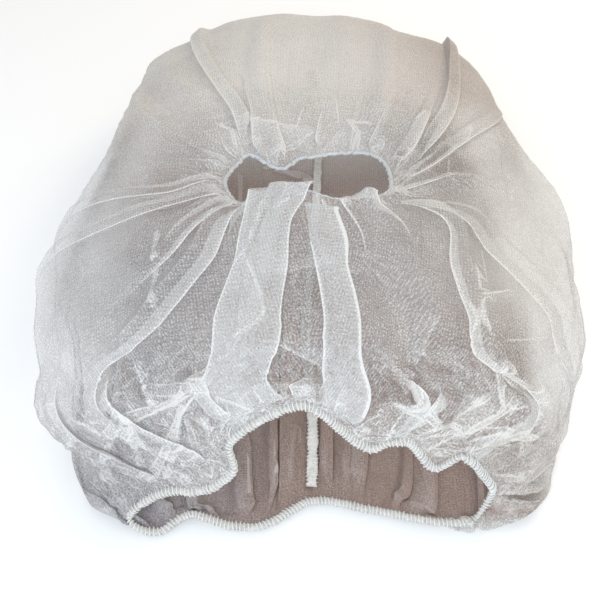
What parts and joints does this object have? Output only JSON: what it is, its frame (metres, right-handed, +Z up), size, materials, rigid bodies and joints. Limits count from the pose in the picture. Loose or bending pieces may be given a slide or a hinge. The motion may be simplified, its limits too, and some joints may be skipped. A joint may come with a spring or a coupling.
{
  "type": "disposable balaclava",
  "caption": "Sheer non-woven hood lying on its back, with an elastic face opening on top, a waved elastic neck opening at one end and a seam inside the back.",
  "frame": {"origin": "middle of the underside, on the surface the hood lies on", "axes": "+Y towards the crown, -Y towards the neck opening, +Z up out of the face opening, +X to the right as seen from the neck"},
  "size_m": [0.269, 0.393, 0.1029],
  "materials": {
    "sheet": "sheer matt spunbond non-woven",
    "face_edge": "turned edge over fine elastic",
    "neck_edge": "overlocked thread over elastic",
    "seam": "overlocked thread"
  },
  "bodies": {
    "root": {"hood": "sheet", "face_hem": "face_edge", "neck_hem": "neck_edge", "back_seam": "seam"}
  },
  "joints": []
}
